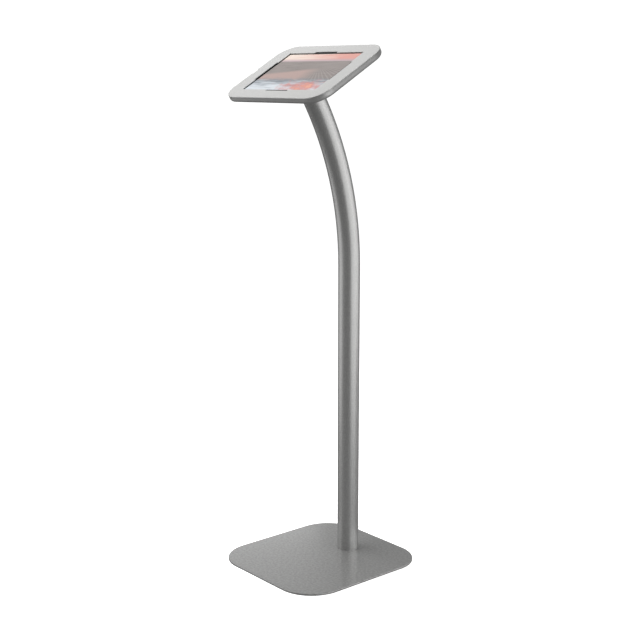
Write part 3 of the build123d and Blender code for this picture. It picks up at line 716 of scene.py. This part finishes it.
class KIOSK_OT_foam(bpy.types.Operator):
    """Make the foam pads, corner holders and window gasket inside the head"""

    bl_idname = "kiosk.foam"
    bl_label = "Foam"

    def execute(self, context):
        sizes = context.scene.kiosk_foam
        # Closed-cell polyethylene foam, die-cut from sheet: matt black, with cells that show
        # as fine pits. Its cut edges pull in where the sheet is squeezed.
        foam = moulded(
            "die_cut_polyethylene_foam", "262627", rough=0.9, ior=1.45, skin_mm=0.9, relief_mm=0.15
        )
        for number, (low, high) in enumerate(solids("rear_pads"), 1):
            outline = rounded_outline(low, high, sizes.pad_corner)
            self.settle(
                lofted(f"rear_pad_{number}", outline, self.squeezed(low.z, high.z)),
                foam, "head", "rear_pads",
            )
        for number, (low, high) in enumerate(solids("corner_holders"), 1):
            outline = self.corner_outline(low, high, sizes)
            self.settle(
                lofted(f"corner_holder_{number}", outline, self.squeezed(low.z, high.z)),
                foam, "head", "corner_holders",
            )
        (low, high), = solids("window_gasket")
        middle, half = (low.z + high.z) / 2, (high.z - low.z) / 2
        rings = []
        for step in range(12):
            angle = math.radians(30 * step)
            belly = sizes.gasket_width / 2 * (1 - math.cos(angle))
            rings.append((belly, middle + half * math.sin(angle)))
        self.settle(
            lofted(
                "window_gasket_strip", rounded_outline(low, high, sizes.gasket_corner), rings,
                hollow=True,
            ),
            foam, "faceplate", "window_gasket",
        )
        return {"FINISHED"}

    def squeezed(self, bottom, top):
        """Rings of a squeezed sheet: cut edges that belly out, and faces that crown slightly."""
        thick = top - bottom
        pull = min(0.6 * MM, thick / 3)
        crown = min(0.15 * MM, thick / 10)
        return (
            (2.5 * pull + 1.5 * MM, bottom),
            (1.6 * pull, bottom + 0.3 * crown),
            (pull, bottom + crown),
            (0.45 * pull, bottom + 0.12 * thick),
            (0.1 * pull, bottom + 0.3 * thick),
            (0.0, bottom + 0.5 * thick),
            (0.1 * pull, top - 0.3 * thick),
            (0.45 * pull, top - 0.12 * thick),
            (pull, top - crown),
            (1.6 * pull, top - 0.3 * crown),
            (2.5 * pull + 1.5 * MM, top),
        )

    def corner_outline(self, low, high, sizes):
        """A corner holder's angle, anticlockwise, with every corner softened."""
        centre = (low + high) / 2
        side = Vector((math.copysign(1, centre.x), math.copysign(1, centre.y)))
        leg, width = high.x - low.x, sizes.holder_width
        # Measured from the outer corner along both legs, before it is turned to its corner.
        corners = (
            ((leg, 0.0), sizes.holder_end),
            ((leg, width), sizes.holder_end),
            ((width, width), sizes.holder_bend),
            ((width, leg), sizes.holder_end),
            ((0.0, leg), sizes.holder_end),
            ((0.0, 0.0), sizes.holder_round),
        )
        outer = Vector((high.x if side.x > 0 else low.x, high.y if side.y > 0 else low.y))
        points = []
        for index, (spot, radius) in enumerate(corners):
            here = Vector(spot)
            before = (Vector(corners[index - 1][0]) - here).normalized()
            after = (Vector(corners[(index + 1) % len(corners)][0]) - here).normalized()
            hub = here + (before + after) * radius
            for step in range(7):
                angle = math.radians(15 * step)
                reach = -after * math.cos(angle) - before * math.sin(angle)
                spoke = hub + reach * radius
                points.append(Vector((outer.x - side.x * spoke.x, outer.y - side.y * spoke.y)))
        return points if side.x * side.y > 0 else points[::-1]

    def settle(self, piece, material, body, node):
        """Finishes a foam part, which rides on its body in place of its CAD solid."""
        piece.data.materials.append(material)
        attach(piece, body)
        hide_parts(node)


class KIOSK_OT_tablet(bpy.types.Operator):
    """Finish the tablet's case, buttons and glass"""

    bl_idname = "kiosk.tablet"
    bl_label = "Tablet"

    def execute(self, context):
        # Blasted, anodised aluminium: grey, even and soft.
        case = bare_metal(
            "blasted_anodised_aluminium", "8E9093", rough=0.42, grain_mm=0.4, tone=0.06
        )
        dress(case, "tablet_case", "power_button", "volume_rocker")
        dress(self.glass(context.scene.kiosk_screen), "tablet_glass")
        return {"FINISHED"}

    def glass(self, screen):
        """Cover glass bonded to a lit panel: glossy over a black printed border and a picture."""
        material, tree, point = new_material("cover_glass_on_display")
        place = add(tree, "SeparateXYZ", {"Vector": head_point(tree, point)})
        half_width, half_height = screen.lit_width / 2, screen.lit_height / 2
        across = add(
            tree,
            "MapRange",
            {"Value": place.outputs["X"], "From Min": -half_width, "From Max": half_width},
        ).outputs[0]
        up = add(
            tree,
            "MapRange",
            {"Value": place.outputs["Y"], "From Min": -half_height, "From Max": half_height},
        ).outputs[0]
        spot = add(tree, "CombineXYZ", {"X": across, "Y": up}).outputs[0]
        flat = add(tree, "VectorMath", {0: spot, 1: (1.0, 7.0, 1.0)}, operation="MULTIPLY")
        streaks = add(
            tree,
            "TexNoise",
            {"Vector": flat.outputs[0], "Scale": 4.0, "Detail": 4.0, "Roughness": 0.55},
        ).outputs[0]
        clouds = add(
            tree, "TexNoise", {"Vector": spot, "Scale": 9.0, "Detail": 6.0, "Roughness": 0.65}
        ).outputs[0]

        # An evening sky, cream on the left and salmon on the right, in level streaks.
        warm = add(tree, "MapRange", {"Value": streaks, "From Min": 0.35, "From Max": 0.65})
        drift = add(
            tree, "Math", {0: warm.outputs[0], 1: 0.35, 2: across}, operation="MULTIPLY_ADD"
        )
        redder = add(
            tree, "MapRange", {"Value": drift.outputs[0], "From Min": 0.3, "From Max": 1.0}
        )
        picture = add(
            tree,
            "Mix",
            {
                "Factor_Float": redder.outputs[0],
                "A_Color": linear(screen.sky_left),
                "B_Color": linear(screen.sky_right),
            },
            data_type="RGBA",
        ).outputs[2]
        low = add(
            tree, "MapRange", {"Value": up, "From Min": SKYLINE + 0.08, "From Max": SKYLINE + 0.01}
        )
        picture = add(
            tree,
            "Mix",
            {
                "Factor_Float": low.outputs[0],
                "A_Color": picture,
                "B_Color": linear(screen.haze),
            },
            data_type="RGBA",
        ).outputs[2]
        # Bare ground in faint bands, with a lighter slope below a ridge that climbs to the right.
        bands = add(tree, "MapRange", {"Value": streaks, "From Min": 0.3, "From Max": 0.7})
        ground = add(
            tree,
            "Mix",
            {
                "Factor_Float": bands.outputs[0],
                "A_Color": linear(screen.ground),
                "B_Color": toned(screen.ground, 1.25),
            },
            data_type="RGBA",
        ).outputs[2]
        crest = add(tree, "Math", {0: across, 1: -0.24, 2: up}, operation="MULTIPLY_ADD")
        under = add(
            tree, "MapRange", {"Value": crest.outputs[0], "From Min": 0.46, "From Max": 0.40}
        )
        left = add(tree, "MapRange", {"Value": across, "From Min": 0.72, "From Max": 0.52})
        near = add(tree, "Math", {0: under.outputs[0], 1: left.outputs[0]}, operation="MULTIPLY")
        ground = add(
            tree,
            "Mix",
            {
                "Factor_Float": near.outputs[0],
                "A_Color": ground,
                "B_Color": linear(screen.slope),
            },
            data_type="RGBA",
        ).outputs[2]
        # Furrows fan out from the top of the ridge.
        fan = add(tree, "VectorMath", {0: spot, 1: FURROW_HUB}, operation="SUBTRACT")
        arms = add(tree, "SeparateXYZ", {"Vector": fan.outputs[0]})
        angle = add(
            tree, "Math", {0: arms.outputs["Y"], 1: arms.outputs["X"]}, operation="ARCTAN2"
        )
        waves = add(tree, "Math", {0: angle.outputs[0], 1: 60.0}, operation="MULTIPLY")
        combs = add(tree, "Math", {0: waves.outputs[0]}, operation="SINE")
        lines = add(tree, "MapRange", {"Value": combs.outputs[0], "To Max": 0.5})
        right = add(tree, "MapRange", {"Value": across, "From Min": 0.56, "From Max": 0.74})
        fanned = add(tree, "Math", {0: lines.outputs[0], 1: right.outputs[0]}, operation="MULTIPLY")
        ground = add(
            tree,
            "Mix",
            {
                "Factor_Float": fanned.outputs[0],
                "A_Color": ground,
                "B_Color": linear(screen.furrow),
            },
            data_type="RGBA",
        ).outputs[2]
        land = add(
            tree,
            "MapRange",
            {"Value": up, "From Min": SKYLINE + 0.005, "From Max": SKYLINE - 0.01},
        )
        picture = add(
            tree,
            "Mix",
            {
                "Factor_Float": land.outputs[0],
                "A_Color": picture,
                "B_Color": ground,
            },
            data_type="RGBA",
        ).outputs[2]
        # Wet sand at the near side, pale blue, with the red of the sky in it on the right.
        nearer = add(tree, "Math", {0: up, 1: -1.6, 2: streaks}, operation="MULTIPLY_ADD")
        wave = add(
            tree, "MapRange", {"Value": nearer.outputs[0], "From Min": 0.05, "From Max": 0.4}
        )
        water = add(
            tree,
            "Mix",
            {
                "Factor_Float": wave.outputs[0],
                "A_Color": linear(screen.film),
                "B_Color": linear(screen.streak),
            },
            data_type="RGBA",
        ).outputs[2]
        offset = add(tree, "VectorMath", {0: spot, 1: GLOW_CENTRE}, operation="SUBTRACT")
        shaped = add(
            tree, "VectorMath", {0: offset.outputs[0], 1: (2.7, 6.0, 1.0)}, operation="MULTIPLY"
        )
        reach = add(tree, "VectorMath", {0: shaped.outputs[0]}, operation="LENGTH")
        ragged = add(
            tree, "Math", {0: clouds, 1: 3.0, 2: reach.outputs["Value"]}, operation="MULTIPLY_ADD"
        )
        glow = add(
            tree, "MapRange", {"Value": ragged.outputs[0], "From Min": 2.6, "From Max": 1.7}
        )
        core = add(
            tree, "MapRange", {"Value": ragged.outputs[0], "From Min": 1.9, "From Max": 1.4}
        )
        fire = add(
            tree,
            "Mix",
            {
                "Factor_Float": core.outputs[0],
                "A_Color": linear(screen.glow_red),
                "B_Color": linear(screen.glow_core),
            },
            data_type="RGBA",
        ).outputs[2]
        water = add(
            tree,
            "Mix",
            {
                "Factor_Float": glow.outputs[0],
                "A_Color": water,
                "B_Color": fire,
            },
            data_type="RGBA",
        ).outputs[2]
        shore = add(tree, "Math", {0: clouds, 1: 0.16, 2: up}, operation="MULTIPLY_ADD")
        wet = add(tree, "MapRange", {"Value": shore.outputs[0], "From Min": 0.42, "From Max": 0.33})
        picture = add(
            tree,
            "Mix",
            {
                "Factor_Float": wet.outputs[0],
                "A_Color": picture,
                "B_Color": water,
            },
            data_type="RGBA",
        ).outputs[2]

        # The picture ends at the printed border.
        lit = []
        for axis, half in (("X", half_width), ("Y", half_height)):
            away = add(tree, "Math", {0: place.outputs[axis]}, operation="ABSOLUTE")
            edge = {"Value": away.outputs[0], "From Min": half + 0.1 * MM, "From Max": half}
            lit.append(add(tree, "MapRange", edge).outputs[0])
        inside = add(tree, "Math", {0: lit[0], 1: lit[1]}, operation="MULTIPLY")
        colour = add(
            tree,
            "Mix",
            {
                "Factor_Float": inside.outputs[0],
                "A_Color": linear(screen.border),
                "B_Color": picture,
            },
            data_type="RGBA",
        ).outputs[2]
        # The panel passes on a third of what it would reflect as paint.
        print_colour = add(tree, "VectorMath", {0: colour, "Scale": 0.33}, operation="SCALE")
        finish_material(
            tree,
            {
                "Base Color": print_colour.outputs[0],
                "IOR": 1.52,
                "Roughness": 0.05,
                "Emission Color": colour,
                "Emission Strength": screen.backlight,
            },
        )
        return material


# ---- Panel and registration ----
STEPS = (
    KIOSK_OT_stage,
    KIOSK_OT_powder_coat,
    KIOSK_OT_fittings,
    KIOSK_OT_rubber_and_plastic,
    KIOSK_OT_foam,
    KIOSK_OT_tablet,
)
GROUPS = {
    "kiosk_metal": KIOSK_PG_metal,
    "kiosk_foam": KIOSK_PG_foam,
    "kiosk_screen": KIOSK_PG_screen,
    "kiosk_stage": KIOSK_PG_stage,
}


class KIOSK_PT_sidebar(bpy.types.Panel):
    """The kiosk's steps"""

    bl_label = "Touchscreen Kiosk"
    bl_idname = "KIOSK_PT_sidebar"
    bl_space_type = "VIEW_3D"
    bl_region_type = "UI"
    bl_category = "Kiosk"

    def draw(self, context):
        for step in STEPS:
            self.layout.operator(step.bl_idname)


def register():
    """Registers the settings, steps and panel."""
    for kind in (*GROUPS.values(), *STEPS, KIOSK_PT_sidebar):
        bpy.utils.register_class(kind)
    for name, group in GROUPS.items():
        setattr(bpy.types.Scene, name, PointerProperty(type=group))


def unregister():
    """Takes them away again."""
    for name in GROUPS:
        delattr(bpy.types.Scene, name)
    for kind in (KIOSK_PT_sidebar, *STEPS, *GROUPS.values()):
        bpy.utils.unregister_class(kind)


def main():
    register()
    bpy.ops.kiosk.stage()
    bpy.ops.kiosk.powder_coat()
    bpy.ops.kiosk.fittings()
    bpy.ops.kiosk.rubber_and_plastic()
    bpy.ops.kiosk.foam()
    bpy.ops.kiosk.tablet()


if __name__ == "__main__":
    main()
